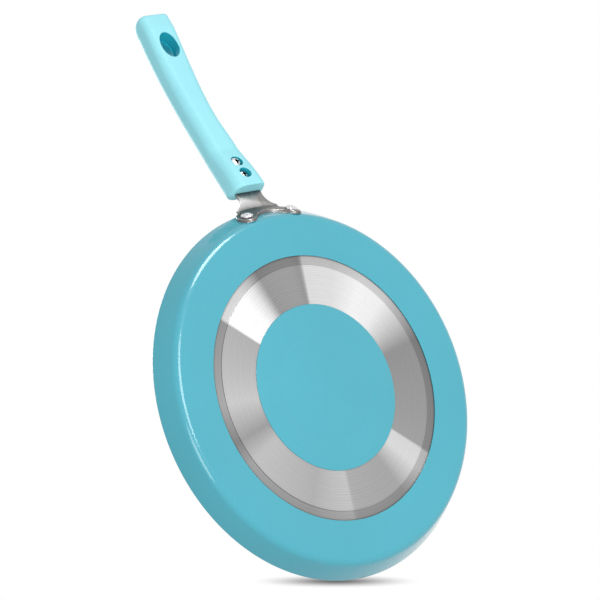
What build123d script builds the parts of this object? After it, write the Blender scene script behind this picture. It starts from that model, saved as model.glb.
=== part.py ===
from build123d import *
from collections import namedtuple
from math import asin, atan, cos, degrees, pi, radians, sin, sqrt, tan
import os

# Dosa tawa: a shallow pressed aluminium griddle with a riveted steel bracket
# and a moulded handle. Origin at the centre of the base, on the plane that it
# stands on; +Z towards the cooking side, +X along the handle. Millimetres.

# Griddle
rim_radius = 140.2           # before the rim's edges are broken
pan_height = 17.7
base_thickness = 3.6
wall_thickness = 2.8
wall_flare = 27.5            # degrees that the wall leans out from upright
corner_radius = 7.0          # outside, between base and wall
inner_corner_radius = 5.0
rim_chamfer = 0.4
rounding_steps = 3           # cone bands that make up a rounded corner

# Bare turned ring under the base, cut a little below the paint
ring_inner_radius = 62.4
ring_step_radius = 92.5
ring_outer_radius = 99.5
ring_depth = 0.25
ring_outer_depth = 0.5

# Bracket of formed sheet
sheet = 2.0
flange_gap = 0.1             # paint between the wall and the flange
rivet_angle = 8.8            # degrees each side of the handle
rivet_height = 8.0
lobe_radius = 7.4
arch_height = 9.6            # lower edge of the flange midway between the rivets
shoulder_inset = 1.8         # the flange narrows by this each side above the rivets
shoulder_radius = 1.5
tongue_rise = 21.0           # degrees above the base
tongue_width = 22.6
bend_height = 18.6           # where the outside of the flange meets the tongue
bend_radius = 2.5            # inside of the bend
neck_length = 14.5           # from the bend to the handle
tongue_insert = 33.0         # length inside the handle
flare_radius = 12.0          # hollow corners where the tongue widens
flare_start = 0.8            # how far before the bend the flare begins
bend_spare = 12.0            # raw sheet past the bend, trimmed off again
end_corner = 4.0             # corners of the tongue's hidden end

# Rivets
rivet_shank_radius = 2.6
rivet_head_radius = 4.6
rivet_head_height = 3.0
rivet_head_edge = 1.2
head_steps = 3               # cone bands in its dome; a screw has one less
rivet_inner_radius = 4.3
rivet_inner_height = 1.0
rivet_seat = 0.2             # room under the inner head for the curve of the wall
rivet_clearance = 0.1

# Handle, measured from its mouth. Low and high are levels above the underside
# of the tongue, square to it. The underside is narrower by the draft each side.
Station = namedtuple("Station", "along width low high draft")
mouth = Station(0.0, width=33.8, low=-9.6, high=9.8, draft=3.4)
pad = Station(37.0, width=30.0, low=-4.8, high=12.4, draft=2.2)
waist = Station(72.0, width=27.6, low=-3.9, high=14.0, draft=2.2)
butt = Station(150.0, width=31.2, low=-13.2, high=6.2, draft=2.2)
droop = 1.75                 # power of the curve by which the grip bends down
mouth_round = 2.6            # edge of the end face, above and beside
mouth_low_round = 0.5        # and below
mouth_steps = (0, 0.3)       # shares of it where sections stand
station_spacing = 12.0       # between the sections that shape it
tip_steps = 4
tip_length = 12.5            # rounded end beyond the butt
tip_side_radius = 3.0
tip_low_radius = 1.5
tip_high_radius = 10.0
low_corner = 8.5             # corners of the section
high_corner = 6.5
corner_share = 0.96          # most of the height that the corners may take up
section_steps = 4            # flat bands that make up each of them

# Hang hole through the grip
hole_at = 134.5
hole_width, hole_length = 11.4, 23.0
hole_step = 1.1              # the upper half is narrower by this all round
hole_step_level = 0.0

# Screws from below, each on a spring washer, into brass inserts
screw_at = {"inner": 12.0, "outer": 24.0}
screw_shank_radius = 2.0
screw_head_radius = 4.0
screw_head_height = 2.3
screw_head_edge = 0.9
cross_width, cross_length, cross_depth = 1.3, 4.6, 1.5
washer_thickness = 0.9
washer_radius = 3.7
washer_gap = 0.8
counterbore_radius = 4.75
counterbore_floor = -2.8
screw_clearance = 0.3
insert_radius = 3.4
insert_length = 4.6
insert_play = 0.05
slot_clearance = 0.3

flare = radians(wall_flare)
rise = radians(tongue_rise)
through = rim_radius         # past any one piece, for cutting tools
far = 8 * through            # past all of them


def wall_radius(height, offset=0.0):
    """Radius of the wall's outside at a height, moved outwards by offset."""
    return rim_radius + (height - pan_height) * tan(flare) + offset / cos(flare)


handle_plane = Plane(
    origin=(
        wall_radius(bend_height, flange_gap + sheet) + neck_length * cos(rise),
        0,
        bend_height + neck_length * sin(rise),
    ),
    x_dir=(cos(rise), 0, sin(rise)),
    z_dir=(-sin(rise), 0, cos(rise)),
)


def rivet_plane(side):
    """Plane on the wall's outside at a rivet, with z out of the wall."""
    angle = radians(side * rivet_angle)
    reach = wall_radius(rivet_height)
    return Plane(
        origin=(reach * cos(angle), reach * sin(angle), rivet_height),
        x_dir=(-sin(angle), cos(angle), 0),
        z_dir=(cos(flare) * cos(angle), cos(flare) * sin(angle), -sin(flare)),
    )


def rivet_holes():
    """Drills for both rivets, long enough for the wall and the flange."""
    drill = Cylinder(rivet_shank_radius + rivet_clearance, 4 * (wall_thickness + sheet))
    return [rivet_plane(side) * drill for side in (-1, 1)]


def round_corner(face, across, up, radius):
    """Round the corner of a flat outline that lies nearest to a point."""
    corner = face.vertices().sort_by_distance((across, up, 0))[0]
    return fillet(corner, radius)


def arc_points(across, up, radius, start, stop, steps=rounding_steps):
    """Points along an arc about a centre, with angles in radians."""
    turn = (stop - start) / steps
    angles = [start + turn * step for step in range(steps + 1)]
    return [(across + radius * cos(a), up + radius * sin(a)) for a in angles]


def corner_reach(radius, lean):
    """From a rounded corner back to the arc's centre, where the side leans out."""
    return radius * tan((pi / 2 - lean) / 2)


def turned(section):
    """Turn a section about the griddle's axis, with its seam opposite the handle."""
    return Rot(0, 0, 180) * revolve(Plane.XZ * section, Axis.Z)


def make_pan():
    base_edge = wall_radius(0)
    inner_rim = rim_radius - wall_thickness / cos(flare)
    inner_edge = inner_rim - (pan_height - base_thickness) * tan(flare)
    base_corner = arc_points(
        base_edge - corner_reach(corner_radius, flare), corner_radius,
        corner_radius, -pi / 2, -flare,
    )
    inner_corner = arc_points(
        inner_edge - corner_reach(inner_corner_radius, flare),
        base_thickness + inner_corner_radius, inner_corner_radius, -flare, -pi / 2,
    )
    outline = Polyline(
        (0, 0),
        (ring_inner_radius, 0),
        (ring_inner_radius, ring_depth),
        (ring_step_radius, ring_depth),
        (ring_step_radius, ring_outer_depth),
        (ring_outer_radius, ring_outer_depth),
        (ring_outer_radius, 0),
        *base_corner,
        (rim_radius, pan_height),
        (inner_rim, pan_height),
        *inner_corner,
        (0, base_thickness),
        close=True,
    )
    section = make_face(outline)
    for edge in (rim_radius, inner_rim):
        corner = section.vertices().sort_by_distance((edge, pan_height, 0))[0]
        section = chamfer(corner, rim_chamfer)
    return turned(section) - rivet_holes()


def cone_band(low, high, inside, outside):
    """Band parallel to the wall, between two offsets from it."""
    outline = Polyline(
        (wall_radius(low, inside), low),
        (wall_radius(low, outside), low),
        (wall_radius(high, outside), high),
        (wall_radius(high, inside), high),
        close=True,
    )
    return turned(make_face(outline))


def bracket_front():
    """Flange seen along the handle: two lobes, the arch between and shoulders."""
    spread = wall_radius(rivet_height) * sin(radians(rivet_angle))
    lift = arch_height - rivet_height
    arch_radius = (spread**2 + lift**2 - lobe_radius**2) / (2 * (lobe_radius + lift))
    tilt = degrees(asin((arch_radius - lift) / (arch_radius + lobe_radius)))
    shoulder = rivet_height + lobe_radius
    neck = spread - shoulder_inset
    top = rim_radius
    arch = CenterArc((0, arch_height - arch_radius), arch_radius, tilt, 90 - tilt)
    lobe = CenterArc((spread, rivet_height), lobe_radius, 180 + tilt, 270 - tilt)
    sides = Polyline((spread, shoulder), (neck, shoulder), (neck, top), (0, top), (0, arch_height))
    half = round_corner(make_face([arch, lobe, sides]), neck, shoulder, shoulder_radius)
    return half + mirror(half, Plane.YZ)


def tongue_plan(spare=0.0):
    """Tongue and flare seen square to the tongue, with spare all round."""
    half = tongue_width / 2 + spare
    end = tongue_insert + spare
    root = -neck_length - flare_start
    back = root - through
    wide = 2 * (half + flare_radius)
    plan = make_face(
        Polyline(
            (back, -wide), (root, -wide), (root, -half), (end, -half),
            (end, half), (root, half), (root, wide), (back, wide), close=True,
        )
    )
    for side in (-1, 1):
        plan = round_corner(plan, root, side * half, flare_radius)
        plan = round_corner(plan, end, side * half, end_corner)
    return plan


def bent_sheet():
    """Sheet that follows the wall, bends over the rim and runs up as the tongue."""
    low = rivet_height - 2 * lobe_radius
    high = bend_height + bend_spare
    span = 4 * (tongue_width / 2 + flare_radius)
    band = cone_band(low, high, flange_gap, flange_gap + sheet)
    core = cone_band(low, high, -span, flange_gap)
    ahead = Pos(rim_radius, 0, 0) * Box(rim_radius, span, far)
    over = handle_plane * Pos(0, 0, sheet + far / 2) * Box(far, far, far)
    plate = handle_plane * Pos(tongue_insert, 0, 0) * Box(
        tongue_insert + neck_length + 2 * bend_spare, span, sheet,
        align=(Align.MAX, Align.CENTER, Align.MIN),
    )
    blank = ((band & ahead) - over) + (plate - core)
    folds = blank.edges().filter_by(GeomType.ELLIPSE).sort_by(Axis.Z)
    blank = fillet(folds[0], bend_radius)
    folds = blank.edges().filter_by(GeomType.ELLIPSE).sort_by(Axis.Z)
    return fillet(folds[-1], bend_radius + sheet)


def make_bracket():
    front = extrude(Plane.YZ * bracket_front(), 2 * rim_radius)
    plan = extrude(handle_plane * tongue_plan(), through, both=True)
    bracket = bent_sheet() & front & plan
    drill = Cylinder(screw_shank_radius + screw_clearance, through)
    for at in screw_at.values():
        bracket -= handle_plane * Pos(at, 0, 0) * drill
    return bracket - rivet_holes()


def domed(radius, edge, height, base, steps):
    """Round head with an upright edge and a domed top, standing on a base level."""
    crown = height - edge
    sphere = (radius**2 + crown**2) / (2 * crown)
    half_angle = asin(radius / sphere)
    dome = arc_points(0, base + height - sphere, sphere, pi / 2 - half_angle, pi / 2, steps)
    outline = Polyline(
        (0, base), (radius, base), *dome[:-1], (0, base + height), close=True
    )
    return revolve(Plane.XZ * make_face(outline), Axis.Z)


def make_rivet(side):
    """Rivet with a high head outside and a low one inside the griddle."""
    outside = flange_gap + sheet
    inside = wall_thickness + rivet_seat
    shank = Pos(0, 0, (outside - inside) / 2) * Cylinder(rivet_shank_radius, outside + inside)
    head = domed(rivet_head_radius, rivet_head_edge, rivet_head_height, outside, head_steps)
    inner = domed(rivet_inner_radius, rivet_inner_height / 2, rivet_inner_height, inside, 1)
    return rivet_plane(side) * (shank + head + mirror(inner, Plane.XY))


def handle_section(station):
    """Section of the handle: a trapezoid, narrower below, with round corners."""
    along, width, low, high, draft = station
    high_half = width / 2
    low_half = high_half - draft
    fit = min(1, corner_share * (high - low) / (low_corner + high_corner))
    lean = atan(draft / (high - low))
    below = arc_points(
        low_half - corner_reach(fit * low_corner, lean), low + fit * low_corner,
        fit * low_corner, -pi / 2, -lean, section_steps,
    )
    above = arc_points(
        high_half - corner_reach(fit * high_corner, -lean), high - fit * high_corner,
        fit * high_corner, -lean, pi / 2, section_steps,
    )
    right = below + above
    left = [(-across, up) for across, up in reversed(right)]
    face = make_face(Polyline(*right, *left, close=True))
    plane = Plane(
        origin=handle_plane.from_local_coords((along, 0, 0)),
        x_dir=handle_plane.y_dir,
        z_dir=handle_plane.x_dir,
    )
    return plane * face


def inset(depth, radius):
    """How far a rounded edge has drawn in, at a depth from the end face."""
    return radius - sqrt(radius**2 - (radius - min(depth, radius)) ** 2)


def near_end(station, along, depth, side_radius, low_radius, high_radius):
    """Station moved along, and drawn in by the rounded edges of an end face."""
    return station._replace(
        along=along,
        width=station.width - 2 * inset(depth, side_radius),
        low=station.low + inset(depth, low_radius),
        high=station.high - inset(depth, high_radius),
    )


def smooth(share):
    """Ease that is level at both ends."""
    return (1 - cos(pi * share)) / 2


def kinked(share):
    """Ease that is level at its start only, so the pad ends in a kink."""
    return 1 - cos(pi / 2 * share)


def drooping(share):
    """Ease that bends away more and more."""
    return share**droop


def between(start, end, along, low_ease, high_ease):
    """Station on the way from one to the next."""
    share = (along - start.along) / (end.along - start.along)
    eases = (smooth, low_ease, high_ease, smooth)
    sizes = [a + (b - a) * ease(share) for a, b, ease in zip(start[1:], end[1:], eases)]
    return Station(along, *sizes)


def handle_blank():
    """Moulded outer form: a pad round the tongue, the grip, and its rounded tip."""
    stations = []
    for share in mouth_steps:
        depth = mouth_round * share
        stations.append(near_end(mouth, depth, depth, mouth_round, mouth_low_round, mouth_round))
    spans = (
        (mouth_round, mouth, pad, kinked, smooth),
        (pad.along, pad, waist, smooth, smooth),
        (waist.along, waist, butt, drooping, drooping),
    )
    for first, start, end, low_ease, high_ease in spans:
        steps = round((end.along - first) / station_spacing)
        for step in range(steps):
            along = first + (end.along - first) * step / steps
            stations.append(between(start, end, along, low_ease, high_ease))
    for step in range(tip_steps + 1):
        beyond = tip_length * sin(pi / 2 * step / tip_steps)
        depth = tip_length - beyond
        stations.append(
            near_end(butt, butt.along + beyond, depth, tip_side_radius, tip_low_radius, tip_high_radius)
        )
    return loft([handle_section(station) for station in stations], ruled=True)


def on_handle(along, level, shape):
    """Stand a shape square to the tongue, at a place along the handle."""
    return handle_plane * Pos(along, 0, level) * shape


def hang_hole():
    """Slotted hole with a narrower upper half."""
    lower = extrude(SlotOverall(hole_length, hole_width), -through)
    narrow = SlotOverall(hole_length - 2 * hole_step, hole_width - 2 * hole_step)
    return on_handle(hole_at, hole_step_level, lower + extrude(narrow, through))


def make_handle():
    slot = extrude(tongue_plan(slot_clearance), sheet + 2 * slot_clearance)
    handle = handle_blank() - on_handle(0, -slot_clearance, slot) - hang_hole()
    for at in screw_at.values():
        shank = Cylinder(screw_shank_radius + screw_clearance, -2 * counterbore_floor)
        well = Pos(0, 0, -through / 2) * Cylinder(counterbore_radius, through)
        pocket = Pos(0, 0, sheet + slot_clearance + insert_length / 2) * Cylinder(
            insert_radius + insert_play, insert_length + 2 * insert_play
        )
        handle -= on_handle(at, 0, shank + pocket)
        handle -= on_handle(at, counterbore_floor, well)
    return handle


def make_screw(at):
    """Pan-head screw with a cross recess, head down."""
    seat = counterbore_floor - washer_thickness
    tip = sheet + slot_clearance + insert_length - screw_clearance
    shank = Pos(0, 0, (seat + tip) / 2) * Cylinder(screw_shank_radius, tip - seat)
    head = domed(screw_head_radius, screw_head_edge, screw_head_height, 0, head_steps - 1)
    cross = Box(cross_length, cross_width, 2 * cross_depth)
    recess = Pos(0, 0, -screw_head_height) * (cross + Rot(0, 0, 90) * cross)
    screw = shank + Pos(0, 0, seat) * (mirror(head, Plane.XY) - recess)
    return on_handle(at, 0, screw)


def make_washer(at):
    """Spring washer: a split ring between the screw head and the handle."""
    ring = Cylinder(washer_radius, washer_thickness) - Cylinder(
        screw_shank_radius + screw_clearance / 2, washer_thickness
    )
    split = Pos(washer_radius, 0, 0) * Box(washer_radius, washer_gap, 2 * washer_thickness)
    return on_handle(at, counterbore_floor - washer_thickness / 2, ring - split)


def make_insert(at):
    """Brass sleeve above the tongue that the screw pulls against."""
    sleeve = Cylinder(insert_radius, insert_length) - Cylinder(
        screw_shank_radius + insert_play, insert_length
    )
    return on_handle(at, sheet + slot_clearance + insert_play + insert_length / 2, sleeve)


def main():
    os.makedirs("parts", exist_ok=True)
    pieces = {
        "pan_body": make_pan(),
        "bracket": make_bracket(),
        "rivet_left": make_rivet(1),
        "rivet_right": make_rivet(-1),
        "handle": make_handle(),
    }
    for place, at in screw_at.items():
        pieces[f"screw_{place}"] = make_screw(at)
        pieces[f"washer_{place}"] = make_washer(at)
        pieces[f"insert_{place}"] = make_insert(at)
    for name, piece in pieces.items():
        export_step(piece, f"parts/{name}.step")


if __name__ == "__main__":
    main()
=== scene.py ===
from collections import namedtuple
from math import acos, atan, ceil, cos, pi, radians, sin, sqrt, tan
from random import Random

import bmesh
import bpy
from bpy.props import FloatProperty, FloatVectorProperty, IntProperty, PointerProperty
from bpy.types import Operator, Panel, PropertyGroup
from mathutils import Matrix, Vector
from mathutils.bvhtree import BVHTree


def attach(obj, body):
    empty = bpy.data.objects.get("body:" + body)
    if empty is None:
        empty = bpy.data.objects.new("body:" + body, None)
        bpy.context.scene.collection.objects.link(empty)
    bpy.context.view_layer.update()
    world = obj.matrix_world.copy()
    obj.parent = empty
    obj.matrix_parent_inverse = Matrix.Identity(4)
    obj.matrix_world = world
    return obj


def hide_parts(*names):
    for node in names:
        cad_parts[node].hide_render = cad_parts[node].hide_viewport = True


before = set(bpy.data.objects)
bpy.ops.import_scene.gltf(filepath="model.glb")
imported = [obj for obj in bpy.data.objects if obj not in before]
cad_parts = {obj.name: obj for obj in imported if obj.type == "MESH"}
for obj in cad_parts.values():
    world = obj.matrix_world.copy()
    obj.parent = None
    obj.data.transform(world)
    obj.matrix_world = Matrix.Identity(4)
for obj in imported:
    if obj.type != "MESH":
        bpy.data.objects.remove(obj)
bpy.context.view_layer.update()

bl_info = {
    "name": "Dosa Tawa",
    "version": (1, 0, 0),
    "blender": (4, 5, 0),
    "location": "View3D > Sidebar > Tawa",
    "description": "Enamelled griddle with a turned ring, a riveted bracket and a moulded handle",
    "category": "Add Mesh",
}


# Settings, in metres and linear colours


def length(name, description, default):
    return FloatProperty(
        name=name, description=description, default=default, precision=5, unit="LENGTH"
    )


def angle(name, description, degrees):
    return FloatProperty(
        name=name, description=description, default=radians(degrees),
        subtype="ANGLE", unit="ROTATION",
    )


def count(name, description, default):
    return IntProperty(name=name, description=description, default=default, min=1)


def amount(name, description, default):
    return FloatProperty(name=name, description=description, default=default, min=0)


def spot(name, description, *default):
    return FloatVectorProperty(
        name=name, description=description, default=default, precision=5,
        subtype="TRANSLATION", unit="LENGTH",
    )


def direction(name, description, *default):
    return FloatVectorProperty(
        name=name, description=description, default=default, subtype="DIRECTION"
    )


def station(name, description, *sizes):
    return FloatVectorProperty(
        name=name, default=sizes, size=6, precision=5, unit="LENGTH",
        description=description + ": place, width, underside, top, draft and lower corner",
    )


def colour(name, description, default):
    return FloatVectorProperty(
        name=name, description=description, default=default, subtype="COLOR", min=0, max=1
    )


class TawaGriddle(PropertyGroup):
    rim_radius: length("Rim radius", "Outside of the rim, before its edges are rounded", 0.1402)
    height: length("Height", "From the base to the rim", 0.0177)
    base_thickness: length("Base thickness", "Metal between hob and batter", 0.0036)
    wall_thickness: length("Wall thickness", "Of the sloping wall", 0.0028)
    wall_flare: angle("Wall flare", "Of the wall, from upright", 27.5)
    corner_radius: length("Base corner", "Between base and wall, outside", 0.007)
    inner_corner_radius: length("Inner corner", "Between cooking face and wall", 0.005)
    rim_rounding: length("Rim rounding", "Of the rim's two edges", 0.0004)
    ring_inner: length("Ring inner radius", "Inner edge of the bare ring", 0.0624)
    ring_step: length("Ring step radius", "Where its outer band begins", 0.0925)
    ring_outer: length("Ring outer radius", "Outer edge of the bare ring", 0.0995)
    ring_depth: length("Ring depth", "Cut below the enamel", 0.00025)
    ring_outer_depth: length("Outer band depth", "Cut at the outer band", 0.0005)
    enamel_edge: length("Enamel edge", "Worn edge beside the ring", 0.0002)
    enamel_thickness: length("Enamel thickness", "Rise of that edge", 0.00005)
    groove_pitch: length("Groove pitch", "Between turning grooves", 0.0023)
    groove_depth: length("Groove depth", "Of the turning grooves", 0.00004)
    disc_circle: length("Disc circle", "Radius of a faint pressed circle", 0.040)
    disc_circle_width: length("Disc circle width", "Width of that circle", 0.0012)
    disc_circle_depth: length("Disc circle depth", "Depth of that circle", 0.00006)
    segments: count("Segments", "Sides of the turned shapes", 288)


class TawaHandle(PropertyGroup):
    origin: spot("Origin", "Underside of the tongue at the handle's mouth", 0.15654, 0, 0.02380)
    rise: angle("Rise", "Slope of the tongue above the base", 21)
    mouth: station("Mouth", "Section at the mouth", 0, 0.0338, -0.0096, 0.0098, 0.0034, 0.0085)
    pad: station("Pad", "End of the pad", 0.037, 0.0300, -0.0048, 0.0124, 0.0022, 0.0085)
    waist: station("Waist", "Narrowest section", 0.072, 0.0276, -0.0039, 0.0140, 0.0022, 0.0085)
    butt: station("Butt", "Section before the tip", 0.150, 0.0312, -0.0114, 0.0061, 0.0022, 0.0062)
    droop: amount("Droop", "Power of the grip's downward curve", 1.75)
    mouth_round: length("Mouth rounding", "Edge of the end face, above and beside", 0.0026)
    mouth_low_round: length("Mouth lower edge", "Edge of the end face, below", 0.0005)
    tip_length: length("Tip length", "Rounded end beyond the butt", 0.0124)
    tip_side: length("Tip side rounding", "Beside", 0.003)
    tip_low: length("Tip lower rounding", "Below", 0.0015)
    tip_high: length("Tip upper rounding", "Above", 0.010)
    high_corner: length("Upper corners", "Of the section, above", 0.0065)
    station_spacing: length("Station spacing", "Between the mesh's sections", 0.002)
    hole_at: length("Hole place", "Its centre, from the mouth", 0.1349)
    hole_width: length("Hole width", "Across the handle", 0.0152)
    hole_length: length("Hole length", "Along the handle", 0.0212)
    hole_step: length("Hole step", "By which the upper half draws in", 0.0011)
    hole_overlap: length("Hole overlap", "Of its two halves", 0.00001)
    edge_round: length("Opening edges", "Rounding round the holes in the moulding", 0.0008)
    slot_clearance: length("Slot clearance", "Gap round the tongue", 0.0003)
    tongue_width: length("Tongue width", "Of the steel tongue", 0.0226)
    tongue_insert: length("Tongue length", "In the handle", 0.033)
    sheet: length("Sheet", "Thickness of the bracket", 0.002)


class TawaFasteners(PropertyGroup):
    rivet_angle: angle("Rivet angle", "Each side of the handle's line", 8.8)
    rivet_height: length("Rivet height", "Above the base", 0.008)
    rivet_shank: length("Rivet shank radius", "Through wall and flange", 0.0026)
    rivet_head: length("Rivet head radius", "Outer head", 0.0046)
    rivet_head_height: length("Rivet head height", "Outer head", 0.003)
    rivet_head_edge: length("Rivet head edge", "Upright edge of the head", 0.0012)
    rivet_inner: length("Inner head radius", "Inner head", 0.0043)
    rivet_inner_height: length("Inner head height", "Inner head", 0.001)
    rivet_seat: length("Inner head seat", "Room for the curve of the wall", 0.0002)
    flange_gap: length("Flange gap", "Paint between wall and flange", 0.0001)
    hammer_marks: count("Hammer marks", "Flats left on a rivet head", 15)
    hammer_depth: length("Hammer depth", "Of the flats", 0.00024)
    screw_inner: length("Inner screw place", "From the mouth of the handle", 0.012)
    screw_outer: length("Outer screw place", "From the mouth of the handle", 0.024)
    screw_shank: length("Screw radius", "Shank", 0.002)
    screw_head: length("Screw head radius", "Pan head", 0.004)
    screw_head_height: length("Screw head height", "Pan head", 0.0033)
    screw_head_edge: length("Screw head edge", "Upright edge of the head", 0.0020)
    screw_tip: length("Screw tip", "Above the tongue's underside", 0.0066)
    cross_width: length("Cross width", "Arm of the recess", 0.0014)
    cross_length: length("Cross length", "Across the recess", 0.0048)
    cross_depth: length("Cross depth", "Depth of the recess", 0.0020)
    washer: length("Washer", "Thickness", 0.0009)
    counterbore: length("Counterbore radius", "Well round each screw head", 0.00475)
    counterbore_floor: length("Counterbore floor", "Below the tongue's underside", -0.0028)
    edge_soften: length("Sheet edges", "Of the bracket, rounded", 0.00032)
    part_soften: length("Part edges", "Of washers and inserts, rounded", 0.0001)


class TawaFinishes(PropertyGroup):
    enamel: colour("Enamel", "Turquoise outside of the griddle", (0.072, 0.462, 0.578))
    coating: colour("Coating", "Non-stick cooking face", (0.030, 0.031, 0.033))
    aluminium: colour("Aluminium", "Bare turned ring and rivets", (0.72, 0.71, 0.73))
    steel: colour("Steel", "Bracket", (0.40, 0.395, 0.39))
    moulding: colour("Moulding", "Light-blue handle", (0.375, 0.895, 1.0))
    # Painted shade: a darker moulding colour inside the holes
    moulding_painted_shade: colour("Moulding, deep", "Handle inside its holes", (0.012, 0.45, 0.57))
    plating: colour("Plating", "Screws and washers", (0.66, 0.66, 0.67))
    # Painted shade: the inside of a screw's cross is coloured near black
    recess: colour("Recess", "Inside the cross of a screw", (0.05, 0.05, 0.05))
    # Painted highlight: the bracket's rounded edges get this brighter colour
    edge: colour("Sheared edge", "Bright rounded edges of the bracket", (0.74, 0.735, 0.73))
    brass: colour("Brass", "Threaded inserts", (0.78, 0.60, 0.28))


class TawaStage(PropertyGroup):
    middle: spot("Middle", "Point that the lamps are turned to", 0.05, 0, 0.02)
    camera_place: spot("Camera place", "Of the photograph", -0.22770, -1.60912, -1.96543)
    camera_right: direction("Camera right", "Across the picture", -0.280605, 0.763008, -0.582305)
    camera_back: direction("Camera back", "Towards the camera", -0.115057, -0.629045, -0.768807)
    lens: amount("Lens", "Focal length in millimetres", 210.3)
    ambient: amount("Ambient", "Light from all round", 0.45)
    key: amount("Key", "Main lamp", 15.8)
    fill: amount("Fill", "Lamp beside the camera", 9.5)
    glint: amount("Glint", "Lamp that only gloss shows", 24)
    top: amount("Top", "Lamp on the cooking side", 19)
    lamp_size: length("Lamp size", "Width of each round lamp", 0.9)
    floor_size: length("Floor size", "Width of the floor", 4)
    floor_drop: length("Floor drop", "Keeps it off the face of the base", 0.0004)
    floor_glow: amount("Floor glow", "Light of the floor's own", 0.25)
    # The contact shadow is painted on a sheet behind the rim
    contact_length: length("Contact length", "Length of the contact shadow", 0.128)
    contact_height: length("Contact height", "Its height in the picture", 0.0105)
    contact_drop: length("Contact drop", "Its middle, under the rim", 0.0012)
    contact_behind: length("Contact behind", "Behind the rim", 0.012)
    contact_depth: amount("Contact depth", "How dark its middle is", 0.85)
    rest_point: spot("Rest point", "Where the photographed rim stands", -0.1372, -0.0279, 0.0177)


# Mesh helpers


def arc(across, up, radius, start, stop, steps):
    """Points along an arc about a centre, with angles in radians."""
    turn = (stop - start) / steps
    return [
        (across + radius * cos(start + turn * step), up + radius * sin(start + turn * step))
        for step in range(steps + 1)
    ]


def corner_reach(radius, lean):
    """From a rounded corner back to the arc's centre, where the side leans out."""
    return radius * tan((pi / 2 - lean) / 2)


def add_object(name, data):
    thing = bpy.data.objects.new(name, data)
    bpy.context.scene.collection.objects.link(thing)
    return thing


def add_piece(name, mesh, materials, slot, *nodes):
    """Put a mesh in the scene as a piece of the root body that stands for CAD nodes."""
    for material in materials:
        mesh.materials.append(material)
    shade(mesh)
    piece = add_object(name, mesh)
    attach(piece, "root")
    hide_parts(*nodes)


CRISP = radians(35)  # edges sharper than this stay crisp


def shade(mesh):
    """Smooth shading, with the sharp edges left crisp."""
    shape = bmesh.new()
    shape.from_mesh(mesh)
    for face in shape.faces:
        face.smooth = True
    for edge in shape.edges:
        edge.smooth = len(edge.link_faces) == 2 and edge.calc_face_angle(0) < CRISP
    shape.to_mesh(mesh)
    shape.free()


def to_mesh(name, shape, place=Matrix.Identity(4)):
    """Write a bmesh, moved to its place, with its faces turned outwards."""
    bmesh.ops.transform(shape, matrix=place, verts=shape.verts)
    bmesh.ops.recalc_face_normals(shape, faces=shape.faces)
    mesh = bpy.data.meshes.new(name)
    shape.to_mesh(mesh)
    shape.free()
    return mesh


def skin(rings):
    """Closed solid through rings of equal count, with a face over each end."""
    shape = bmesh.new()
    loops = [[shape.verts.new(point) for point in ring] for ring in rings]
    for first, second in zip(loops, loops[1:]):
        for i, corner in enumerate(first):
            j = (i + 1) % len(first)
            shape.faces.new((corner, first[j], second[j], second[i]))
    shape.faces.new(loops[0])
    shape.faces.new(reversed(loops[-1]))
    return shape


ON_AXIS = 1e-7  # a smaller radius counts as a point on the axis


def lathe(profile, segments, paints=None):
    """Turn an open profile of (radius, height) points about Z. Its ends lie on the axis.

    Paints give the material of each row of faces.
    """
    shape = bmesh.new()
    turns = [(cos(2 * pi * i / segments), sin(2 * pi * i / segments)) for i in range(segments)]
    rows = []
    for radius, height in profile:
        if radius < ON_AXIS:
            rows.append([shape.verts.new((0, 0, height))] * segments)
        else:
            rows.append([shape.verts.new((radius * x, radius * y, height)) for x, y in turns])
    for row, (low, high) in enumerate(zip(rows, rows[1:])):
        for i in range(segments):
            j = (i + 1) % segments
            corners = []
            for corner in (low[i], low[j], high[j], high[i]):
                if corner not in corners:
                    corners.append(corner)
            face = shape.faces.new(corners)
            face.material_index = paints[row] if paints else 0
    return shape


def carve(mesh, cutters):
    """Mesh with the cutters' solids taken out of it."""
    body = add_object("carved", mesh)
    tools = []
    for cutter in cutters:
        tools.append(add_object("cutter", cutter))
        step = body.modifiers.new("cut", "BOOLEAN")
        step.operation = "DIFFERENCE"
        step.solver = "EXACT"
        step.object = tools[-1]
    bpy.context.view_layer.update()
    view = bpy.context.evaluated_depsgraph_get()
    carved = bpy.data.meshes.new_from_object(body.evaluated_get(view))
    for leftover in (body, *tools):
        old = leftover.data
        bpy.data.objects.remove(leftover)
        bpy.data.meshes.remove(old)
    if not carved.polygons:
        raise RuntimeError("a cut left nothing of the mesh")
    return carved


WELD = 2e-6  # corners of the CAD mesh that are nearer than this are one
FLAT = radians(0.6)  # faces that meet at less than this are one
SHARP = radians(40)  # edges over this are rounded


def softened(node, width):
    """Copy of a CAD node's mesh with its sharp edges rounded over, in the second material."""
    shape = bmesh.new()
    shape.from_mesh(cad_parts[node].data)
    bmesh.ops.remove_doubles(shape, verts=shape.verts, dist=WELD)
    bmesh.ops.dissolve_limit(shape, angle_limit=FLAT, verts=shape.verts, edges=shape.edges)
    sharp = [
        edge for edge in shape.edges
        if len(edge.link_faces) == 2 and edge.calc_face_angle(0) > SHARP
    ]
    rounded = bmesh.ops.bevel(
        shape, geom=sharp, offset=width, segments=3, profile=0.5, affect="EDGES",
        clamp_overlap=True,
    )
    for face in rounded["faces"]:
        face.material_index = 1
    mesh = bpy.data.meshes.new(node + "_softened")
    shape.to_mesh(mesh)
    shape.free()
    return mesh


# Material helpers


def feed(tree, socket, source):
    """Link another node's output to a socket, or set the socket to a plain value."""
    if isinstance(source, bpy.types.NodeSocket):
        tree.links.new(source, socket)
    else:
        socket.default_value = source


def add_node(tree, kind, *sources, operation=None):
    """Add a node whose first sockets take the sources, and return its first output."""
    node = tree.nodes.new(kind)
    if operation:
        node.operation = operation
    for socket, source in zip(node.inputs, sources):
        feed(tree, socket, source)
    return node.outputs[0]


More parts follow.
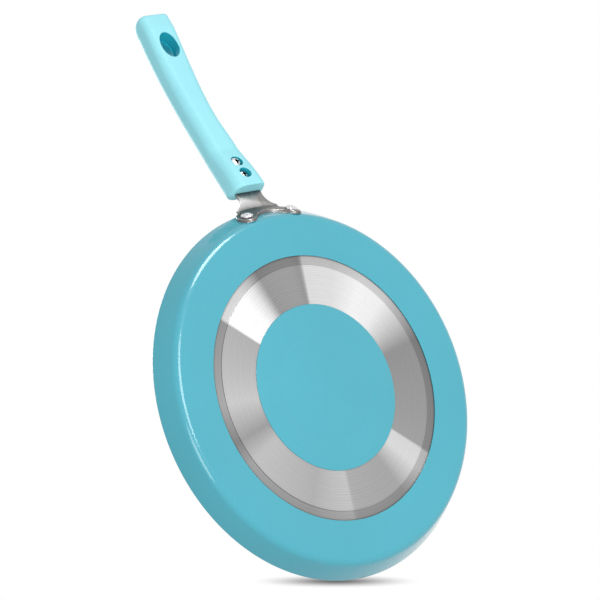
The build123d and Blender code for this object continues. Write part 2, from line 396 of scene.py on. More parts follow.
class Look:
    """A new material and short ways to add to its node tree."""

    def __init__(self, name):
        self.material = bpy.data.materials.new(name)
        self.material.use_nodes = True
        self.tree = self.material.node_tree

    def add(self, kind, **sources):
        """Add a node with sources on its named sockets, where _ stands for a space."""
        node = self.tree.nodes.new(kind)
        for socket, source in sources.items():
            feed(self.tree, node.inputs[socket.replace("_", " ")], source)
        return node

    def math(self, operation, *sources):
        return add_node(self.tree, "ShaderNodeMath", *sources, operation=operation)

    def place(self):
        """Object coordinates, in metres."""
        return self.add("ShaderNodeTexCoord").outputs["Object"]

    def axes(self):
        """Object coordinates one by one, as the outputs X, Y and Z."""
        return self.add("ShaderNodeSeparateXYZ", Vector=self.place()).outputs


class Finish(Look):
    """A Principled material. Its base colour also serves where textures aren't read."""

    def __init__(self, name, base, metallic=0.0, specular=0.5):
        super().__init__(name)
        self.shader = self.tree.nodes["Principled BSDF"]
        self.set("Base Color", (*base, 1))
        self.set("Metallic", metallic)
        self.set("Specular IOR Level", specular)
        self.material.diffuse_color = (*base, 1)

    def set(self, socket, source):
        feed(self.tree, self.shader.inputs[socket], source)

    def noise(self, scale, detail, stretch=(1, 1, 1)):
        mapping = self.add("ShaderNodeMapping", Vector=self.place(), Scale=stretch)
        texture = self.add(
            "ShaderNodeTexNoise", Vector=mapping.outputs["Vector"], Scale=scale, Detail=detail
        )
        return texture.outputs["Fac"]

    def spread(self, value, low, high, start=0.3, stop=0.7):
        """Map a texture value to a range."""
        node = self.add(
            "ShaderNodeMapRange", Value=value,
            From_Min=start, From_Max=stop, To_Min=low, To_Max=high,
        )
        return node.outputs["Result"]

    def ramp(self, value, stops):
        """Map a texture value to colours, given as (position, colour) stops."""
        node = self.add("ShaderNodeValToRGB", Fac=value)
        marks = node.color_ramp.elements
        while len(marks) > 1:
            marks.remove(marks[-1])
        marks[0].position = stops[0][0]
        marks[0].color = (*stops[0][1], 1)
        for position, tint in stops[1:]:
            marks.new(position).color = (*tint, 1)
        return node.outputs["Color"]

    def product(self, first, second):
        """Multiply two colours, or a colour by a value."""
        mix = self.add("ShaderNodeMix")
        mix.data_type = "RGBA"
        mix.blend_type = "MULTIPLY"
        mix.inputs["Factor"].default_value = 1
        feed(self.tree, mix.inputs["A"], first)
        feed(self.tree, mix.inputs["B"], second)
        return mix.outputs["Result"]

    def mottle(self, value, base, dark, light):
        """Darken and lighten the base colour by a texture value."""
        stops = ((0.3, shift(base, dark)), (0.7, shift(base, light)))
        self.set("Base Color", self.ramp(value, stops))

    def rough(self, value, low, high):
        self.set("Roughness", self.spread(value, low, high))

    def bump(self, height, depth, strength):
        """Raise the surface by a texture value. Depth is in metres."""
        node = self.add("ShaderNodeBump", Height=height, Distance=depth, Strength=strength)
        self.set("Normal", node.outputs["Normal"])


def shift(base, factor):
    """Colour made darker or lighter."""
    return tuple(min(1.0, channel * factor) for channel in base)


def enamel_finish(base):
    """Glossy baked enamel with a faint orange-peel surface."""
    finish = Finish("enamel_turquoise", base, specular=0.25)
    finish.set("Coat Weight", 0.7)
    finish.set("Coat Roughness", 0.06)
    finish.mottle(finish.noise(9, 3), base, 0.965, 1.035)
    finish.rough(finish.noise(140, 3), 0.22, 0.32)
    finish.bump(finish.noise(420, 2), 0.00003, 0.2)
    return finish.material


# Painted reflection on the turned metal, in light and dark sectors: angle from the handle in
# degrees, and grey
PAINTED_REFLECTION_FANS = (
    (0, 0.25), (5.4, 0.22), (6.4, 0.52), (24, 0.59), (40, 0.74), (54, 0.72), (66, 0.51),
    (77, 0.28), (100, 0.32), (129.5, 0.36), (130.5, 0.67), (140, 0.69), (154, 0.37), (184, 0.33),
    (185.5, 0.43), (208, 0.33), (244, 0.44), (254.5, 0.30), (272, 0.55), (290, 0.48),
    (309.5, 0.42), (310.5, 0.97), (326, 0.86), (333, 0.64), (340, 0.25),
)
# Painted shade across the bare ring, from its inner to its outer edge: the outer band painted
# darker, with a dark line at each step
RING_PAINTED_SHADE = (
    (0, 0.4), (0.012, 1.0), (0.80, 1.0), (0.806, 0.45), (0.818, 0.72), (0.972, 0.66),
    (0.982, 0.35), (1, 0.35),
)
RINGS_PER_METRE = 2600  # fine turning rings


def turned_finish(base):
    """Bare aluminium turned on a lathe, with fine rings and a painted reflection in light and dark
    sectors.
    """
    finish = Finish("aluminium_turned", base, metallic=1)
    finish.set("Roughness", 0.34)
    finish.set("Anisotropic", 0.6)
    tangent = finish.add("ShaderNodeTangent")
    tangent.direction_type = "RADIAL"
    tangent.axis = "Z"
    finish.set("Tangent", tangent.outputs["Tangent"])
    x, y, _ = finish.axes()
    turn = finish.math("ARCTAN2", y, x)
    share = finish.math("FRACT", finish.math("ADD", finish.math("DIVIDE", turn, 2 * pi), 1))
    # painted reflection: grey by the angle about the axis
    painted_fans = finish.ramp(share, [(degrees / 360, (grey, grey, grey)) for degrees, grey in PAINTED_REFLECTION_FANS])
    squares = finish.math("ADD", finish.math("MULTIPLY", x, x), finish.math("MULTIPLY", y, y))
    radius = finish.math("SQRT", squares)
    sizes = bpy.context.scene.tawa_griddle
    across = finish.spread(radius, 0, 1, sizes.ring_inner, sizes.ring_outer)
    # painted shade: darker outer band and a dark line at each step
    ring_shade = finish.ramp(across, [(share, (grey, grey, grey)) for share, grey in RING_PAINTED_SHADE])
    lines = finish.add("ShaderNodeTexNoise", Scale=1, Detail=6, Roughness=0.7)
    lines.noise_dimensions = "1D"
    feed(finish.tree, lines.inputs["W"], finish.math("MULTIPLY", radius, RINGS_PER_METRE))
    streaks = finish.spread(lines.outputs["Fac"], 0.72, 1.24)
    finish.set("Base Color", finish.product(finish.product(painted_fans, ring_shade), streaks))
    finish.bump(lines.outputs["Fac"], 0.00001, 0.4)
    return finish.material


def coating_finish(base):
    """Dark non-stick coating with fine speckle."""
    finish = Finish("coating_dark", base, specular=0.4)
    specks = finish.noise(1900, 2)
    stops = ((0.35, shift(base, 0.8)), (0.66, base), (0.74, shift(base, 3.2)))
    finish.set("Base Color", finish.ramp(specks, stops))
    finish.rough(finish.noise(60, 4), 0.42, 0.56)
    finish.bump(finish.noise(1300, 3), 0.00004, 0.5)
    return finish.material


# Painted shade on the steel by its distance along the frame's X, in metres: darker on the flange
# and darkest by the slot, where the handle shades it
SHEET_PAINTED_SHADE = ((0.130, 0.38), (0.1425, 0.40), (0.1452, 0.56), (0.1530, 0.54), (0.1563, 0.28))


def bracket_finish(base):
    """Satin steel sheet with grain along the tongue, and painted shade: darker on the flange and
    by the slot.
    """
    finish = Finish("steel_satin", base, metallic=1)
    grain = finish.noise(260, 4, (0.12, 1, 0.3))
    first, last = SHEET_PAINTED_SHADE[0][0], SHEET_PAINTED_SHADE[-1][0]
    # painted shade by distance along X
    reach = finish.spread(finish.axes()["X"], 0, 1, first, last)
    painted_tones = [((x - first) / (last - first), shift(base, tone)) for x, tone in SHEET_PAINTED_SHADE]
    streaks = finish.spread(grain, 0.93, 1.07)
    finish.set("Base Color", finish.product(finish.ramp(reach, painted_tones), streaks))
    finish.rough(grain, 0.30, 0.44)
    finish.bump(grain, 0.00002, 0.4)
    return finish.material


def rivet_finish(base):
    """Bright aluminium, dented by the setting tool."""
    finish = Finish("aluminium_hammered", base, metallic=1)
    dents = finish.noise(900, 3)
    stops = ((0.32, shift(base, 0.6)), (0.5, base), (0.7, shift(base, 1.12)))
    finish.set("Base Color", finish.ramp(dents, stops))
    finish.rough(dents, 0.14, 0.3)
    finish.bump(dents, 0.0001, 0.5)
    return finish.material


def moulding_finish(name, base):
    """Soft matte plastic with a very fine moulded grain."""
    finish = Finish(name, base, specular=0.35)
    finish.mottle(finish.noise(22, 3), base, 0.975, 1.02)
    finish.rough(finish.noise(700, 2), 0.5, 0.62)
    finish.bump(finish.noise(2600, 2), 0.00002, 0.3)
    return finish.material


def plating_finish(name, base):
    """Bright plated steel with small wear marks."""
    finish = Finish(name, base, metallic=1)
    marks = finish.noise(1500, 3)
    finish.mottle(marks, base, 0.8, 1.15)
    finish.rough(marks, 0.1, 0.26)
    finish.bump(marks, 0.00003, 0.4)
    return finish.material


def brass_finish(base):
    """Plain machined brass."""
    finish = Finish("brass_plain", base, metallic=1)
    marks = finish.noise(900, 3)
    finish.mottle(marks, base, 0.85, 1.1)
    finish.rough(marks, 0.24, 0.38)
    return finish.material


# Griddle

CORNER_STEPS = 14
INNER_CORNER_STEPS = 12
RIM_STEPS = 6
# One turning groove: shares of the pitch, and of the depth
GROOVE = ((0, 0), (0.55, 0), (0.75, 1), (0.95, 0))
# Radii of two plain rows, which keep the faces about the axis short
BASE_ROW = 0.02
FACE_ROW = 0.06


def ring_floor(sizes):
    """Turning grooves and outer band of the bare ring, as (radius, height) points."""
    grooves = ceil((sizes.ring_step - sizes.ring_inner) / sizes.groove_pitch)
    pitch = (sizes.ring_step - sizes.ring_inner) / grooves
    points = []
    for groove in range(grooves):
        start = sizes.ring_inner + groove * pitch
        for share, depth in GROOVE:
            points.append((start + share * pitch, sizes.ring_depth + depth * sizes.groove_depth))
    points.append((sizes.ring_step, sizes.ring_depth))
    points.append((sizes.ring_step, sizes.ring_outer_depth))
    points.append((sizes.ring_outer, sizes.ring_outer_depth))
    return points


def pressed_circle(sizes):
    """Shallow rounded groove on the painted disc."""
    half = sizes.disc_circle_width / 2
    return [
        (sizes.disc_circle + half * share, sizes.disc_circle_depth * (1 - share**2))
        for share in (-1, -0.5, 0, 0.5, 1)
    ]


def griddle_profile(sizes):
    """Outline from the base's centre round the rim to the cooking face's, with its paints."""
    flare = sizes.wall_flare
    base_edge = sizes.rim_radius - sizes.height * tan(flare)
    inner_rim = sizes.rim_radius - sizes.wall_thickness / cos(flare)
    inner_edge = inner_rim - (sizes.height - sizes.base_thickness) * tan(flare)
    edge = sizes.rim_rounding
    outer_top = sizes.rim_radius - corner_reach(edge, -flare)
    inner_top = inner_rim + corner_reach(edge, flare)
    enamel = [
        (0, 0), (BASE_ROW, 0), *pressed_circle(sizes),
        (sizes.ring_inner - sizes.enamel_edge, 0), (sizes.ring_inner, sizes.enamel_thickness),
    ]
    ring = ring_floor(sizes)
    outside = [
        (sizes.ring_outer, sizes.enamel_thickness), (sizes.ring_outer + sizes.enamel_edge, 0)
    ]
    outside += arc(
        base_edge - corner_reach(sizes.corner_radius, flare), sizes.corner_radius,
        sizes.corner_radius, -pi / 2, -flare, CORNER_STEPS,
    )
    outside += arc(outer_top, sizes.height - edge, edge, -flare, pi / 2, RIM_STEPS)
    inside = arc(inner_top, sizes.height - edge, edge, pi / 2, pi - flare, RIM_STEPS)
    inside += arc(
        inner_edge - corner_reach(sizes.inner_corner_radius, flare),
        sizes.base_thickness + sizes.inner_corner_radius,
        sizes.inner_corner_radius, -flare, -pi / 2, INNER_CORNER_STEPS,
    )
    inside += [(FACE_ROW, sizes.base_thickness), (0, sizes.base_thickness)]
    profile = enamel + ring + outside + inside
    paints = [0] * len(enamel) + [1] * (len(ring) - 1) + [0] * len(outside) + [2] * len(inside)
    return profile, paints


class TAWA_OT_griddle(Operator):
    """Make the griddle: enamelled shell, turned ring and coated cooking face"""

    bl_idname = "tawa.griddle"
    bl_label = "Griddle"

    def execute(self, context):
        sizes = context.scene.tawa_griddle
        looks = context.scene.tawa_finishes
        profile, paints = griddle_profile(sizes)
        mesh = to_mesh("griddle", lathe(profile, sizes.segments, paints))
        materials = (
            enamel_finish(looks.enamel), turned_finish(looks.aluminium),
            coating_finish(looks.coating),
        )
        add_piece("griddle", mesh, materials, "griddle", "pan_body")
        return {"FINISHED"}


# Handle

Station = namedtuple("Station", "along width low high draft corner")
CORNER_SHARE = 0.96  # the most of a section's height that its two corners take up
SECTION_STEPS = 14
MOUTH_STEPS = 8
TIP_STEPS = 24


def handle_place(sizes):
    """Matrix from the handle's own axes, along, across and up, to the frame."""
    turn = Matrix.Rotation(-sizes.rise, 4, "Y")
    return Matrix.Translation(Vector(sizes.origin)) @ turn


def handle_section(sizes, station):
    """Ring of points: a trapezoid, narrower below, with round corners."""
    along, width, low, high, draft, corner = station
    low_half = width / 2 - draft
    fit = min(1, CORNER_SHARE * (high - low) / (corner + sizes.high_corner))
    lean = atan(draft / (high - low))
    low_round = fit * corner
    high_round = fit * sizes.high_corner
    right = arc(
        low_half - corner_reach(low_round, lean), low + low_round,
        low_round, -pi / 2, -lean, SECTION_STEPS,
    )
    right += arc(
        width / 2 - corner_reach(high_round, -lean), high - high_round,
        high_round, -lean, pi / 2, SECTION_STEPS,
    )
    left = [(-across, up) for across, up in reversed(right)]
    return [(along, across, up) for across, up in right + left]


def inset(depth, radius):
    """How far a rounded edge has drawn in, at a depth from the end face."""
    return radius - sqrt(radius**2 - (radius - min(depth, radius)) ** 2)


def near_end(station, along, depth, side, low, high):
    """Station moved along, and drawn in by the rounded edges of an end face."""
    return station._replace(
        along=along,
        width=station.width - 2 * inset(depth, side),
        low=station.low + inset(depth, low),
        high=station.high - inset(depth, high),
    )


def smooth(share):
    """Ease that is level at both ends."""
    return (1 - cos(pi * share)) / 2


def kinked(share):
    """Ease that is level at its start only, so the pad ends in a kink."""
    return 1 - cos(pi / 2 * share)


def between(start, end, along, low_ease, high_ease):
    """Station on the way from one to the next."""
    share = (along - start.along) / (end.along - start.along)
    eases = (smooth, low_ease, high_ease, smooth, smooth)
    sizes = [a + (b - a) * ease(share) for a, b, ease in zip(start[1:], end[1:], eases)]
    return Station(along, *sizes)


def handle_stations(sizes):
    """Rings of the handle from its mouth to its tip."""
    mouth, pad, waist, butt = (
        Station(*part) for part in (sizes.mouth, sizes.pad, sizes.waist, sizes.butt)
    )

    def drooping(share):
        return share**sizes.droop

    edge = sizes.mouth_round
    stations = []
    for step in range(MOUTH_STEPS):
        depth = edge * (1 - cos(pi / 2 * step / MOUTH_STEPS))
        stations.append(near_end(mouth, depth, depth, edge, sizes.mouth_low_round, edge))
    spans = (
        (edge, mouth, pad, kinked, smooth),
        (pad.along, pad, waist, smooth, smooth),
        (waist.along, waist, butt, drooping, drooping),
    )
    for first, start, end, low_ease, high_ease in spans:
        steps = round((end.along - first) / sizes.station_spacing)
        for step in range(steps):
            along = first + (end.along - first) * step / steps
            stations.append(between(start, end, along, low_ease, high_ease))
    tip = (sizes.tip_side, sizes.tip_low, sizes.tip_high)
    for step in range(TIP_STEPS + 1):
        beyond = sizes.tip_length * sin(pi / 2 * step / TIP_STEPS)
        stations.append(near_end(butt, butt.along + beyond, sizes.tip_length - beyond, *tip))
    return [handle_section(sizes, station) for station in stations]


OVAL_STEPS = 64


def oval(long, wide):
    """Outline of an oval about its centre, as (along, across, outward direction)."""
    points = []
    for step in range(OVAL_STEPS):
        turn = 2 * pi * step / OVAL_STEPS
        out = Vector((wide * cos(turn), long * sin(turn))).normalized()
        points.append((long / 2 * cos(turn), wide / 2 * sin(turn), *out))
    return points


ABOVE = 0.05  # rays that look for the surface start this far out
PROUD = 0.004  # cutters stand this far out of the surface


def well(surface, at, outline, side, floor, edge):
    """Cutter from outside the moulding down to a floor level, with a rounded mouth.

    Side is -1 for a mouth in the underside and 1 for one in the top. The faces well
    inside the mouth have the second material, a darker colour of painted shade.
    """
    leans = [radians(degrees) for degrees in (12, 30, 50, 70, 90)]
    levels = [(edge * (1 - sin(lean)), edge * (1 - cos(lean))) for lean in leans]
    levels.insert(0, (levels[0][0], -PROUD))
    rings = []
    for spread, depth in levels:
        ring = []
        for along, across, out_along, out_across in outline:
            x = at + along + spread * out_along
            y = across + spread * out_across
            hit = surface.ray_cast(Vector((x, y, side * ABOVE)), Vector((0, 0, -side)))[0]
            if hit is None:
                raise RuntimeError("an opening's edge misses the handle")
            ring.append((x, y, hit.z - side * depth))
        rings.append(ring)
    lip = rings[-2][0][2]
    rings.append([(at + along, across, floor) for along, across, _, _ in outline])
    shape = skin(rings)
    for face in shape.faces:
        # faces deep in the opening get the painted shade
        deep = side * (lip - face.calc_center_median().z) > 2 * edge
        face.material_index = 1 if deep else 0
    return to_mesh("well", shape)


def box_cutter(low, high):
    """Cutter in the shape of a box between two corners."""
    shape = bmesh.new()
    bmesh.ops.create_cube(shape, size=1)
    middle = (Vector(low) + Vector(high)) / 2
    size = Vector(high) - Vector(low)
    place = Matrix.Translation(middle) @ Matrix.Diagonal((*size, 1))
    return to_mesh("box", shape, place)


def handle_cutters(surface, sizes, parts):
    """Cutters for the hang hole, the screw wells and the slot of the tongue."""
    lower = oval(sizes.hole_length, sizes.hole_width)
    step = 2 * sizes.hole_step
    upper = oval(sizes.hole_length - step, sizes.hole_width - step)
    bore = oval(2 * parts.counterbore, 2 * parts.counterbore)
    cutters = [
        well(surface, sizes.hole_at, lower, -1, 0, sizes.edge_round),
        well(surface, sizes.hole_at, upper, 1, -sizes.hole_overlap, sizes.edge_round),
    ]
    for at in (parts.screw_inner, parts.screw_outer):
        cutters.append(well(surface, at, bore, -1, parts.counterbore_floor, sizes.edge_round / 2))
    gap = sizes.slot_clearance
    half = sizes.tongue_width / 2 + gap
    cutters.append(
        box_cutter((-PROUD / 2, -half, -gap), (sizes.tongue_insert + gap, half, sizes.sheet + gap))
    )
    return cutters


class TAWA_OT_handle(Operator):
    """Make the moulded handle with its hang hole, tongue slot and screw wells"""

    bl_idname = "tawa.handle"
    bl_label = "Handle"

    def execute(self, context):
        sizes = context.scene.tawa_handle
        looks = context.scene.tawa_finishes
        blank = skin(handle_stations(sizes))
        bmesh.ops.recalc_face_normals(blank, faces=blank.faces)
        surface = BVHTree.FromBMesh(blank)
        cutters = handle_cutters(surface, sizes, context.scene.tawa_fasteners)
        mesh = carve(to_mesh("handle", blank), cutters)
        mesh.transform(handle_place(sizes))
        materials = (
            moulding_finish("moulding_light_blue", looks.moulding),
            # second material: painted shade inside the holes
            moulding_finish("moulding_deep_blue", looks.moulding_painted_shade),
        )
        add_piece("handle_moulding", mesh, materials, "handle", "handle")
        return {"FINISHED"}


# Bracket, washers and inserts keep the CAD shape, with rounded edges


class TAWA_OT_bracket(Operator):
    """Make the formed steel bracket"""

    bl_idname = "tawa.bracket"
    bl_label = "Bracket"

    def execute(self, context):
        parts = context.scene.tawa_fasteners
        looks = context.scene.tawa_finishes
        mesh = softened("bracket", parts.edge_soften)
        # the rounded edges get a painted highlight in a brighter steel
        materials = (bracket_finish(looks.steel), plating_finish("steel_edge", looks.edge))
        add_piece("bracket_sheet", mesh, materials, "bracket", "bracket")
        return {"FINISHED"}


# Rivets

RIVET_SIDES = 72
RIVET_DOME_STEPS = 22


def rivet_place(griddle, parts, side):
    """Matrix at a rivet on the wall's outside, with Z out of the wall."""
    flare = griddle.wall_flare
    turn = side * parts.rivet_angle
    reach = griddle.rim_radius + (parts.rivet_height - griddle.height) * tan(flare)
    out = Vector((cos(flare) * cos(turn), cos(flare) * sin(turn), -sin(flare)))
    across = Vector((-sin(turn), cos(turn), 0))
    up = out.cross(across)
    turned = Matrix((across, up, out)).transposed().to_4x4()
    origin = Vector((reach * cos(turn), reach * sin(turn), parts.rivet_height))
    return Matrix.Translation(origin) @ turned


def dome_profile(radius, edge, height, base, steps=14):
    """Half outline of a round head, from its seat's edge to the top of its dome.

    The dome's centre and radius come with it.
    """
    crown = height - edge
    sphere = (radius**2 + crown**2) / (2 * crown)
    half = acos((sphere - crown) / sphere)
    soft = edge / 4
    points = [(radius - soft, base), (radius, base + soft)]
    dome = arc(0, base + height - sphere, sphere, pi / 2 - half, pi / 2, steps)
    return points + dome[:-1] + [(0, base + height)], base + height - sphere, sphere


WIDEST_BLOW = 0.75  # lean of the outermost blow on a rivet, in radians
BLOW_TURN = 2.4  # from each blow to the next, in radians
BLOW_STRAY = 0.3  # how far a blow strays from its turn, in radians


def hammer(shape, centre, sphere, marks, depth, seed):
    """Flatten a dome by blows from several directions."""
    dice = Random(seed)
    middle = Vector((0, 0, centre))
    blows = []
    for mark in range(marks):
        lean = WIDEST_BLOW * sqrt((mark + 0.5) / marks)
        turn = BLOW_TURN * mark + dice.uniform(-BLOW_STRAY, BLOW_STRAY)
        blow = Vector((sin(lean) * cos(turn), sin(lean) * sin(turn), cos(lean)))
        blows.append((blow, sphere - depth * dice.uniform(0.5, 1.0)))
    for corner in shape.verts:
        out = corner.co - middle
        if corner.co.z < centre or out.length < 0.9 * sphere:
            continue  # not on the dome
        aim = out.normalized()
        reach = min(plane / max(aim.dot(blow), 0.2) for blow, plane in blows)
        corner.co = middle + aim * min(out.length, reach)


def rivet_profile(griddle, parts, outside):
    """Outline of a rivet from its inner head to its outer one, with the outer dome."""
    inside = griddle.wall_thickness + parts.rivet_seat
    head, centre, sphere = dome_profile(
        parts.rivet_head, parts.rivet_head_edge, parts.rivet_head_height, outside,
        RIVET_DOME_STEPS,
    )
    inner, _, _ = dome_profile(
        parts.rivet_inner, parts.rivet_inner_height / 2, parts.rivet_inner_height, inside
    )
    back = [(radius, -height) for radius, height in reversed(inner)]
    shank = [(parts.rivet_shank, -inside), (parts.rivet_shank, outside)]
    return back + shank + head, centre, sphere


class TAWA_OT_rivets(Operator):
    """Make the two rivets, hammered outside and low on the cooking side"""

    bl_idname = "tawa.rivets"
    bl_label = "Rivets"

    def execute(self, context):
        griddle = context.scene.tawa_griddle
        parts = context.scene.tawa_fasteners
        material = rivet_finish(context.scene.tawa_finishes.aluminium)
        outside = parts.flange_gap + context.scene.tawa_handle.sheet
        profile, centre, sphere = rivet_profile(griddle, parts, outside)
        for name, side in (("rivet_left", 1), ("rivet_right", -1)):
            shape = lathe(profile, RIVET_SIDES)
            hammer(shape, centre, sphere, parts.hammer_marks, parts.hammer_depth, side + 5)
            mesh = to_mesh(name + "_head", shape, rivet_place(griddle, parts, side))
            add_piece(name + "_hammered", mesh, (material,), "rivets", name)
        return {"FINISHED"}


# Screws

SCREW_SIDES = 64
CROSS_CLEARANCE = 0.001  # the cross's cutters stand this far out of the head
CROSS_FLOOR = 0.62  # length of the cross at its floor, as a share of that at its mouth


def cross_cutters(parts, top):
    """Two arms of a cross-head recess that narrows towards its floor."""
    levels = (
        (top + CROSS_CLEARANCE, 1.08), (top, 1), (top - parts.cross_depth, CROSS_FLOOR)
    )
    meshes = []
    for turn in (0, pi / 2):
        rings = []
        for level, share in levels:
            reach = parts.cross_length / 2 * share
            half = parts.cross_width / 2 * (0.4 + 0.6 * share)
            corners = ((reach, half), (-reach, half), (-reach, -half), (reach, -half))
            rings.append([(*corner, level) for corner in corners])
        shape = skin(rings)
        # the cross's faces take the second material, painted shade
        for face in shape.faces:
            face.material_index = 1
        meshes.append(to_mesh("cross", shape, Matrix.Rotation(turn, 4, "Z")))
    return meshes


def screw_mesh(parts):
    """Screw with its head up, measured from the tongue's underside."""
    seat = parts.washer - parts.counterbore_floor
    head, _, _ = dome_profile(
        parts.screw_head, parts.screw_head_edge, parts.screw_head_height, seat
    )
    tip = -parts.screw_tip
    radius = parts.screw_shank
    point = 0.3 * radius
    shank = [(0, tip), (radius - point, tip), (radius, tip + point), (radius, seat)]
    body = to_mesh("screw", lathe(shank + head, SCREW_SIDES))
    return carve(body, cross_cutters(parts, seat + parts.screw_head_height))


class TAWA_OT_screws(Operator):
    """Make the cross-head screws, and finish their washers and inserts"""

    bl_idname = "tawa.screws"
    bl_label = "Screws"

    def execute(self, context):
        sizes = context.scene.tawa_handle
        parts = context.scene.tawa_fasteners
        looks = context.scene.tawa_finishes
        plating = plating_finish("steel_plated", looks.plating)
        # painted shade inside the cross recess
        recess = plating_finish("steel_recess", looks.recess)
        brass = brass_finish(looks.brass)
        down = Matrix.Rotation(pi, 4, "X")
        for side, at in (("inner", parts.screw_inner), ("outer", parts.screw_outer)):
            screw = screw_mesh(parts)
            screw.transform(handle_place(sizes) @ Matrix.Translation((at, 0, 0)) @ down)
            add_piece(
                f"screw_{side}_cross_head", screw, (plating, recess), "screws", f"screw_{side}"
            )
            for kind, shape, look in (("washer", "spring", plating), ("insert", "sleeve", brass)):
                node = f"{kind}_{side}"
                mesh = softened(node, parts.part_soften)
                add_piece(f"{node}_{shape}", mesh, (look, look), f"{kind}s", node)
        return {"FINISHED"}


# Stage

WHITE = (1, 1, 1, 1)


def white_world(ambient):
    """Plain light all round that the camera, gloss and glass see as white."""
    world = bpy.data.worlds.new("studio")
    bpy.context.scene.world = world
    world.use_nodes = True
    tree = world.node_tree
    light = tree.nodes["Background"]
    light.inputs["Color"].default_value = WHITE
    light.inputs["Strength"].default_value = ambient
    white = add_node(tree, "ShaderNodeBackground", WHITE, 1)
    path = tree.nodes.new("ShaderNodeLightPath").outputs
    seen = path["Is Camera Ray"]
    for kind in ("Is Glossy Ray", "Is Transmission Ray"):
        seen = add_node(tree, "ShaderNodeMath", seen, path[kind], operation="MAXIMUM")
    mix = add_node(tree, "ShaderNodeMixShader", seen, light.outputs["Background"], white)
    feed(tree, tree.nodes["World Output"].inputs["Surface"], mix)


def camera_turn(stage):
    """Rotation of the camera, whose columns point right, up and back."""
    right = Vector(stage.camera_right).normalized()
    back = Vector(stage.camera_back)
    back = (back - right * back.dot(right)).normalized()
    return Matrix((right, back.cross(right), back)).transposed().to_4x4()


def add_camera(stage, turn):
    lens = bpy.data.cameras.new("camera")
    lens.lens = stage.lens
    lens.sensor_width = 36
    camera = add_object("camera", lens)
    camera.matrix_world = Matrix.Translation(Vector(stage.camera_place)) @ turn
    bpy.context.scene.camera = camera


# Each lamp's place, from the point that the lamps are turned to
LAMPS = {
    "key": (0.34, 0, -1.97),
    "fill": (-0.4, -1.2, -1.54),
    "glint": (1.48, 0.38, -1.28),
    "top": (0.7, 0, 1.87),
}


def add_lamp(stage, name):
    lamp = bpy.data.lights.new(name, "AREA")
    lamp.shape = "DISK"
    lamp.size = stage.lamp_size
    lamp.energy = getattr(stage, name)
    offset = Vector(LAMPS[name])
    holder = add_object(name, lamp)
    holder.location = Vector(stage.middle) + offset
    holder.rotation_mode = "QUATERNION"
    holder.rotation_quaternion = (-offset).to_track_quat("-Z", "Y")
    holder.visible_diffuse = name != "glint"


class StageLook(Look):
    """Material of a stage sheet that only the camera sees, and only from its front.

    It neither blocks nor throws light.
    """

    def __init__(self, name):
        super().__init__(name)
        self.tree.nodes.remove(self.tree.nodes["Principled BSDF"])

    def shader(self, kind, *sources):
        return add_node(self.tree, kind, *sources)

    def show(self, surface, cover=1.0):
        """Show a surface with a cover of 0 to 1 over what lies behind it."""
        camera = self.add("ShaderNodeLightPath").outputs["Is Camera Ray"]
        behind = self.add("ShaderNodeNewGeometry").outputs["Backfacing"]
        share = self.math("MULTIPLY", self.math("SUBTRACT", camera, behind), cover)
        clear = self.shader("ShaderNodeBsdfTransparent")
        mix = self.shader("ShaderNodeMixShader", share, clear, surface)
        feed(self.tree, self.tree.nodes["Material Output"].inputs["Surface"], mix)
        return self.material


def floor_look(glow):
    """Pale diffuse floor with a little light of its own, which keeps the object's shadow."""
    look = StageLook("floor_pale")
    pale = look.shader("ShaderNodeBsdfDiffuse", (0.85, 0.85, 0.85, 1))
    light = look.shader("ShaderNodeEmission", WHITE, glow)
    return look.show(look.shader("ShaderNodeAddShader", pale, light))


def painted_contact_shadow_look(stage):
    """Painted shadow: a soft grey ellipse where the rim stands on the ground of the photograph."""
    look = StageLook("contact_grey")
    x, y, _ = look.axes()
    squares = [
        look.math("POWER", look.math("DIVIDE", x, stage.contact_length / 2), 2.0),
        look.math("POWER", look.math("DIVIDE", y, stage.contact_height / 2), 2.0),
    ]
    reach = look.math("SQRT", look.math("ADD", *squares))
    fade = look.add("ShaderNodeMapRange", Value=reach, To_Min=stage.contact_depth, To_Max=0)
    fade.interpolation_type = "SMOOTHSTEP"
    dark = look.shader("ShaderNodeBsdfDiffuse", (0.01, 0.01, 0.01, 1))
    return look.show(dark, fade.outputs["Result"])


def lay(name, place, long, wide, material):
    """Lay a rectangle about a place, in its XY plane, as part of the stage."""
    x, y = long / 2, wide / 2
    mesh = bpy.data.meshes.new(name)
    mesh.from_pydata([(-x, -y, 0), (x, -y, 0), (x, y, 0), (-x, y, 0)], [], [(0, 1, 2, 3)])
    mesh.materials.append(material)
    sheet = add_object(name, mesh)
    sheet.matrix_world = place


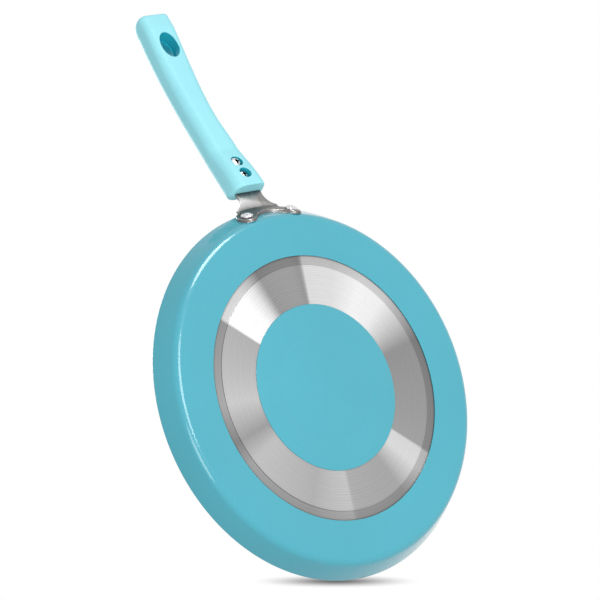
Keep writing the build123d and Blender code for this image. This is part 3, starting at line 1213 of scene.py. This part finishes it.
def add_ground(stage, turn):
    """Floor for the views from above, and the painted contact shadow of the photograph's ground.
    """
    below = Matrix.Translation((0, 0, -stage.floor_drop))
    lay("floor", below, stage.floor_size, stage.floor_size, floor_look(stage.floor_glow))
    rest = Matrix.Translation(Vector(stage.rest_point)) @ turn
    behind = rest @ Matrix.Translation((0, -stage.contact_drop, -stage.contact_behind))
    # a sheet with a painted contact shadow
    lay("contact", behind, stage.contact_length, stage.contact_height, painted_contact_shadow_look(stage))


class TAWA_OT_stage(Operator):
    """Set the camera, the lamps, the white surroundings, the floor and the painted contact shadow
    """

    bl_idname = "tawa.stage"
    bl_label = "Stage"

    def execute(self, context):
        stage = context.scene.tawa_stage
        turn = camera_turn(stage)
        add_camera(stage, turn)
        context.scene.view_settings.view_transform = "Standard"
        white_world(stage.ambient)
        for name in LAMPS:
            add_lamp(stage, name)
        add_ground(stage, turn)
        return {"FINISHED"}


class TAWA_PT_sidebar(Panel):
    """Buttons that make the tawa piece by piece"""

    bl_idname = "TAWA_PT_sidebar"
    bl_label = "Dosa Tawa"
    bl_space_type = "VIEW_3D"
    bl_region_type = "UI"
    bl_category = "Tawa"

    def draw(self, context):
        for operator in OPERATORS:
            self.layout.operator(operator.bl_idname)


GROUPS = {
    "tawa_griddle": TawaGriddle,
    "tawa_handle": TawaHandle,
    "tawa_fasteners": TawaFasteners,
    "tawa_finishes": TawaFinishes,
    "tawa_stage": TawaStage,
}
OPERATORS = (
    TAWA_OT_griddle, TAWA_OT_handle, TAWA_OT_bracket, TAWA_OT_rivets, TAWA_OT_screws,
    TAWA_OT_stage,
)
CLASSES = (*GROUPS.values(), *OPERATORS, TAWA_PT_sidebar)


def register():
    for kind in CLASSES:
        bpy.utils.register_class(kind)
    for name, group in GROUPS.items():
        setattr(bpy.types.Scene, name, PointerProperty(type=group))


def unregister():
    for name in GROUPS:
        delattr(bpy.types.Scene, name)
    for kind in reversed(CLASSES):
        bpy.utils.unregister_class(kind)


def main():
    register()
    bpy.ops.tawa.griddle()
    bpy.ops.tawa.handle()
    bpy.ops.tawa.bracket()
    bpy.ops.tawa.rivets()
    bpy.ops.tawa.screws()
    bpy.ops.tawa.stage()


if __name__ == "__main__":
    main()
